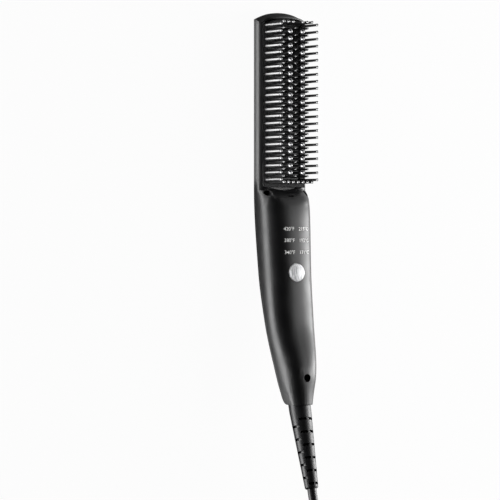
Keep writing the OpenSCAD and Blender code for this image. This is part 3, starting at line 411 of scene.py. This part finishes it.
MATERIALS = {
    "rear_cover": housing, "front_housing": housing, "comb_guard": guard,
    "heat_comb": coating, "ball_tips": ball_polymer, "heat_carrier": inner,
    "ptc_heater": ceramic, "electrode_strips": spring, "insulation_film": amber,
    "heater_clip": spring, "heat_shield": inner, "thermistor": amber,
    "thermal_fuse": amber, "heater_leads": sleeve, "control_board": board,
    "board_capacitor": epoxy, "board_triac": inner, "board_resistors": epoxy,
    "tact_switch": inner, "switch_plunger": epoxy, "power_button": silver,
    "indicator_lamps": sleeve, "light_guide": clear, "board_screws": screw_steel,
    "shoulder_screws": screw_steel, "tail_screw": screw_steel, "swivel_core": inner,
    "contact_rings": brass, "contact_holder": inner, "contact_springs": brass,
    "mains_leads": sleeve, "strain_relief": rubber, "hank_tie": rubber,
    "plug_relief": rubber, "plug_body": rubber, "plug_blades": nickel,
}
BODIES = {
    node: body for body, nodes in frame["record"]["behaviour"]["bodies"].items() for node in nodes
}


def paint(obj, mat):
    """Give an object one material."""
    obj.data.materials.clear()
    obj.data.materials.append(mat)


for node, mat in MATERIALS.items():
    paint(frame["nodes"][node], mat)
paint(mains_cord, rubber)


# Smooth copies of the pieces that show
MERGE = 0.002


def shade_smooth(bm, sharp_deg):
    """Shade smooth, with sharp edges where the faces meet at more than an angle."""
    limit = math.radians(sharp_deg)
    for face in bm.faces:
        face.smooth = True
    for edge in bm.edges:
        edge.smooth = len(edge.link_faces) == 2 and edge.calc_face_angle(0) < limit


def smooth_copy(node, name, sharp_deg):
    """A copy of a CAD node with its points merged and shaded smooth up to an angle."""
    obj = bpy.data.objects.new(name, frame["nodes"][node].data.copy())
    bpy.context.collection.objects.link(obj)
    bm = bmesh.new()
    bm.from_mesh(obj.data)
    bmesh.ops.remove_doubles(bm, verts=bm.verts, dist=MERGE * MM)
    shade_smooth(bm, sharp_deg)
    bm.to_mesh(obj.data)
    bm.free()
    paint(obj, MATERIALS[node])
    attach(obj, BODIES[node])
    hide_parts(node)
    return obj


front_shell = smooth_copy("front_housing", "front_shell", 24)
smooth_copy("rear_cover", "rear_shell", 12)
guard_comb = smooth_copy("comb_guard", "guard_comb", 35)
hot_comb = smooth_copy("heat_comb", "hot_comb", 35)
ball_ends = smooth_copy("ball_tips", "ball_ends", 50)
button_cap = smooth_copy("power_button", "button_cap", 30)
smooth_copy("strain_relief", "relief_sleeve", 30)
smooth_copy("shoulder_screws", "shoulder_fixings", 30)
smooth_copy("tail_screw", "tail_fixing", 30)

# Heights above which the guard's teeth, the pins and the teeth of the end rows take lit copies of
# their materials, a painted highlight
TEETH_SHINE = z_of(7)
PINS_SHINE = z_of(18.8)
ENDS_SHINE = z_of(21.4)
END_ROWS_HALF = 12
for obj, mat, height in ((guard_comb, teeth_lit_copy, TEETH_SHINE), (hot_comb, pin_tips_lit_copy, PINS_SHINE)):
    obj.data.materials.append(mat)
    for face in obj.data.polygons:
        in_end_row = obj == guard_comb and abs(face.center.x) < END_ROWS_HALF * MM
        if face.center.z > (ENDS_SHINE if in_end_row else height) * MM:
            face.material_index = 1


# Crown of the front shell: its flat facets become one soft curve round the handle and the head's
# walls. The tables give millimetres for distances from the tip, the same as in the part's source.
PARTING_H = 1.4
PARTING_STEP = 0.15
WIDTH_SLOPE = -0.5
FRONT_SLOPE = 1.8
CORNER_ROOM = (0.3, 0.5)
SKIN_NEAR = 0.3
FOOT_KEPT = 0.05
CROWN_SHARP = 28
CUT_SHIFT = 0.013
WIDTHS = ((HEAD_L, 35.6), (160, 33.3), (190, 31.3), (TAIL_S, 22.9), (BODY_LEN, 15.8))
RISES = ((HEAD_L, 0), (160, 3.2), (190, 8.7), (TAIL_S, 15.6), (BODY_LEN, 18))
FRONTS = (
    (HEAD_L, 6.3), (112.3, 14), (118.7, 17.4), (126, 18.5), (160, 20.8), (190, 24),
    (TAIL_S, 31.9), (BODY_LEN, 31.8),
)
CORNERS = (
    (HEAD_L, 2), (109.5, 4.5), (111, 9), (116, 9), (126, 8), (160, 9), (TAIL_S, 11), (BODY_LEN, 11),
)
LEANS = ((HEAD_L, 0.8), (126, 2.35), (160, 2.35), (190, 2.1), (TAIL_S, 0.6), (BODY_LEN, 0.6))
CROWN_POWER = 2.7
CROWN_FADE = (
    (HEAD_L - 4, 1), (HEAD_L + 3, 0), (HEAD_L + 5, 0), (HEAD_L + 12, 1),
    (BODY_LEN - 16, 1), (BODY_LEN - 5, 0),
)
WALL_END = HEAD_L + 18
WALL_FADE = ((0, 1), (22, 1), (40, 0), (90, 0))
HEAD_CROWN = 7.5


def curve(points, x, first=0.0, last=0.0):
    """Height of a smooth curve through points, without overshoot, given its slope at both ends."""
    chords = [(b[1] - a[1]) / (b[0] - a[0]) for a, b in zip(points, points[1:])]
    inner_slopes = [0 if a * b <= 0 else 2 * a * b / (a + b) for a, b in zip(chords, chords[1:])]
    slopes = [first] + inner_slopes + [last]
    i = max([0] + [k for k in range(len(chords)) if x >= points[k][0]])
    width = points[i + 1][0] - points[i][0]
    t = max(0, min(1, (x - points[i][0]) / width))
    return (
        (2 * t ** 3 - 3 * t ** 2 + 1) * points[i][1] + (3 * t ** 2 - 2 * t ** 3) * points[i + 1][1]
        + width * ((t ** 3 - 2 * t ** 2 + t) * slopes[i] + (t ** 3 - t ** 2) * slopes[i + 1])
    )


def foot_of(s):
    """Rise of the outer skin's foot, just above the parting line."""
    return curve(RISES, s) + PARTING_H


def half_width(s):
    """Half the width of the shell at its foot."""
    return curve(WIDTHS, s, 0, WIDTH_SLOPE) / 2


def is_outer(s, x, n):
    """Whether a point lies on the outer skin of the front shell, by the shell's section there."""
    foot = foot_of(s)
    half = half_width(s)
    top_half = half - curve(LEANS, s)
    top = curve(FRONTS, s, FRONT_SLOPE)
    r = min(curve(CORNERS, s), top_half - CORNER_ROOM[0], top - foot - CORNER_ROOM[1])
    if n > top - r:
        return abs(math.hypot(max(0, x - top_half + r), n - top + r) - r) < SKIN_NEAR
    side = mix(half - PARTING_STEP, top_half, (n - foot) / (top - r - foot))
    return abs(x - side) < SKIN_NEAR


def cut(bm, axis, places):
    """Cut a mesh by planes across an axis, so that it can bend there."""
    for at in places:
        bmesh.ops.bisect_plane(
            bm, geom=bm.verts[:] + bm.edges[:] + bm.faces[:], dist=MERGE / 2 * MM,
            plane_co=Vector(axis) * (at + CUT_SHIFT) * MM, plane_no=axis,
        )


def crown(obj):
    """Bend the outer skin of the front shell to a superellipse over its foot."""
    bm = bmesh.new()
    bm.from_mesh(obj.data)
    cut(bm, (0, 0, 1), list(range(14, 39)) + [8 + k / 2 for k in range(12)])
    cut(bm, (1, 0, 0), [1.5 * k for k in range(-9, 10)])
    cut(bm, (0, 1, 0), [8 * k for k in range(-13, 15)])
    bmesh.ops.triangulate(bm, faces=bm.faces)
    bm.normal_update()
    for v in bm.verts:
        s = BODY_LEN / 2 - v.co.y / MM
        foot = foot_of(s)
        a = half_width(s) - PARTING_STEP
        b = max(HEAD_CROWN, curve(FRONTS, s, FRONT_SLOPE) - foot)
        x, n = abs(v.co.x / MM), v.co.z / MM - RIDGE_D - foot
        strength = curve(CROWN_FADE, s)
        if s < WALL_END:
            strength = max(strength, curve(WALL_FADE, math.degrees(math.atan2(n, x))))
        if strength <= 0:
            continue
        if n < FOOT_KEPT or not is_outer(s, x, n + foot):
            continue
        away = Vector((x, n))
        turn = away.normalized()
        reach = ((turn.x / a) ** CROWN_POWER + (turn.y / b) ** CROWN_POWER) ** (-1 / CROWN_POWER)
        moved = away.lerp(turn * reach, strength)
        v.co.x = math.copysign(moved.x * MM, v.co.x)
        v.co.z = (moved.y + foot + RIDGE_D) * MM
    bm.normal_update()
    shade_smooth(bm, CROWN_SHARP)
    bm.to_mesh(obj.data)
    bm.free()


crown(front_shell)

# Temperature marks, printed on the front of the handle
bm = bmesh.new()
bm.from_mesh(front_shell.data)
front_tree = BVHTree.FromBMesh(bm)
bm.free()
MARK_ROWS = (133.0, 140.0, 147.3)
MARKS = (("420°F", "380°F", "340°F"), ("215°C", "193°C", "171°C"))
MARK_U = (-4.4, 6.4)
MARK_SIZE = 3.075
MARK_LIFT = 0.05
ABOVE = 200


def mark(text, u, s, name):
    """Flat text laid on the curved front shell, with the head at its top."""
    data = bpy.data.curves.new(name, "FONT")
    data.body = text
    data.size = MARK_SIZE * MM
    data.align_x = "CENTER"
    data.align_y = "CENTER"
    source = bpy.data.objects.new(name + "_text", data)
    bpy.context.collection.objects.link(source)
    bpy.context.view_layer.update()
    mesh = bpy.data.meshes.new_from_object(source)
    bpy.data.objects.remove(source)
    for v in mesh.vertices:
        x, y = v.co.x + u * MM, v.co.y + y_of(s) * MM
        hit = front_tree.ray_cast(Vector((x, y, ABOVE * MM)), Vector((0, 0, -1)))[0]
        v.co = (x, y, hit.z + MARK_LIFT * MM)
    obj = bpy.data.objects.new(name, mesh)
    bpy.context.collection.objects.link(obj)
    paint(obj, ink)
    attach(obj, "brush")
    return obj


marks = [
    mark(MARKS[side][row], MARK_U[side], s, f"mark_{side}_{row}")
    for side in (0, 1) for row, s in enumerate(MARK_ROWS)
]

# Floor: white to the camera with a faint shadow. In reflections it glows white at the right and is
# dimmed at the left, a painted shade where the object mirrors it
FLOOR_X = 360
FLOOR_Y = (-460, 360)
FLOOR_Z = -0.5
PAPER_ROUGHNESS = 0.9
WHITE_SHARE = 0.94
WHITE = 1.02
GLOW_X = (20, 60)
GLOW = (0.13, 1.0)
floor_mesh = bpy.data.meshes.new("floor")
floor_mesh.from_pydata(
    [
        (x * FLOOR_X * MM, FLOOR_Y[k] * MM, FLOOR_Z * MM)
        for x, k in ((-1, 0), (1, 0), (1, 1), (-1, 1))
    ], [], [(0, 1, 2, 3)],
)
floor = bpy.data.objects.new("floor", floor_mesh)
bpy.context.collection.objects.link(floor)
floor_mat = bpy.data.materials.new("white_sweep_paper")
floor_mat.use_nodes = True
tree = floor_mat.node_tree
paper = tree.nodes["Principled BSDF"]
paper.inputs["Base Color"].default_value = linear("#e6e6e6")
paper.inputs["Roughness"].default_value = PAPER_ROUGHNESS
path = add_node(tree, "LightPath")
white = add_node(tree, "Emission", {"Color": (1, 1, 1, 1), "Strength": WHITE})
seen = add_node(tree, "MixShader", {0: WHITE_SHARE, 1: paper.outputs[0], 2: white.outputs[0]})
place = add_node(tree, "SeparateXYZ", {0: add_node(tree, "TexCoord").outputs["Object"]})
# Glow of the floor in reflections, dimmed towards the left as painted shade
reflected_shade_ramp = add_node(tree, "MapRange", {
    "Value": place.outputs["X"], "From Min": GLOW_X[0] * MM, "From Max": GLOW_X[1] * MM,
    "To Min": GLOW[0], "To Max": GLOW[1],
}, interpolation_type="SMOOTHSTEP")
glow = add_node(tree, "Emission", {"Color": (1, 1, 1, 1), "Strength": reflected_shade_ramp.outputs["Result"]})
mirrored = add_node(tree, "Math", {
    0: path.outputs["Is Glossy Ray"], 1: path.outputs["Is Transmission Ray"],
}, operation="MAXIMUM")
unseen = add_node(tree, "MixShader", {
    0: mirrored.outputs[0], 1: paper.outputs[0], 2: glow.outputs[0],
})
blend = add_node(tree, "MixShader", {
    0: path.outputs["Is Camera Ray"], 1: unseen.outputs[0], 2: seen.outputs[0],
})
tree.links.new(blend.outputs[0], tree.nodes["Material Output"].inputs["Surface"])
paint(floor, floor_mat)


# Lights, in millimetres. A lamp's brightness is given as the radiance of its face.
LIGHT_AIM = Vector((0, -20, 20))
STRIP_Z = 1


def area_light(name, size, radiance):
    """A rectangular lamp, not yet placed."""
    data = bpy.data.lights.new(name, "AREA")
    data.shape = "RECTANGLE"
    data.size, data.size_y = size[0] * MM, size[1] * MM
    data.energy = radiance * math.pi * data.size * data.size_y
    obj = bpy.data.objects.new(name, data)
    bpy.context.collection.objects.link(obj)
    return obj


def soft_box(name, direction, distance, size, radiance, lit=()):
    """A lamp in a direction from the handle, which lights everything or only the pieces named."""
    obj = area_light(name, size, radiance)
    direction = Vector(direction).normalized()
    obj.location = (LIGHT_AIM + direction * distance) * MM
    obj.rotation_euler = direction.to_track_quat("Z", "Y").to_euler()
    if lit:
        group = bpy.data.collections.new("lit_by_" + name)
        for piece in lit:
            group.objects.link(piece)
        obj.light_linking.receiver_collection = group


def floor_strip(name, x, y, size, radiance):
    """A lamp on the floor that faces up, mirrored in the left wall and hidden from the camera."""
    obj = area_light(name, size, radiance)
    obj.location = Vector((x, y, STRIP_Z)) * MM
    obj.rotation_euler = (math.pi, 0, 0)
    obj.visible_camera = False


soft_box("upper_right_soft_box", (0.8, 0.1, 0.6), 1200, (800, 1400), 0.3)
soft_box("right_soft_box", (0.97, 0, 0.2), 900, (260, 1300), 7.5)
soft_box("teeth_key", (-0.78, -0.4, 0.5), 900, (900, 900), 9, [guard_comb, hot_comb, ball_ends])
soft_box("front_fill", back, 900, (500, 500), 4, marks + [button_cap])
floor_strip("low_left_edge", -31, 66, (14, 100), 3.2)
floor_strip("low_left_strip", -76, -10, (72, 440), 4.7)
floor_strip("low_left_panel", -172, -10, (120, 440), 3.4)

# World: bright at the right and dark at the left, and white to the camera
SKY_X = (0.25, 1.0)
SKY = (0.02, 1.2)
world = bpy.data.worlds.new("studio")
bpy.context.scene.world = world
world.use_nodes = True
tree = world.node_tree
sky = add_node(tree, "SeparateXYZ", {0: add_node(tree, "TexCoord").outputs["Generated"]})
ramp = add_node(tree, "MapRange", {
    "Value": sky.outputs["X"], "From Min": SKY_X[0], "From Max": SKY_X[1],
    "To Min": SKY[0], "To Max": SKY[1],
}, interpolation_type="SMOOTHSTEP")
camera_ray = add_node(tree, "LightPath").outputs["Is Camera Ray"]
level_of = add_node(tree, "Math", {0: ramp.outputs["Result"], 1: camera_ray}, operation="MAXIMUM")
background = tree.nodes["Background"]
background.inputs["Color"].default_value = (1, 1, 1, 1)
tree.links.new(level_of.outputs[0], background.inputs["Strength"])

bpy.context.scene.view_settings.view_transform = "Standard"
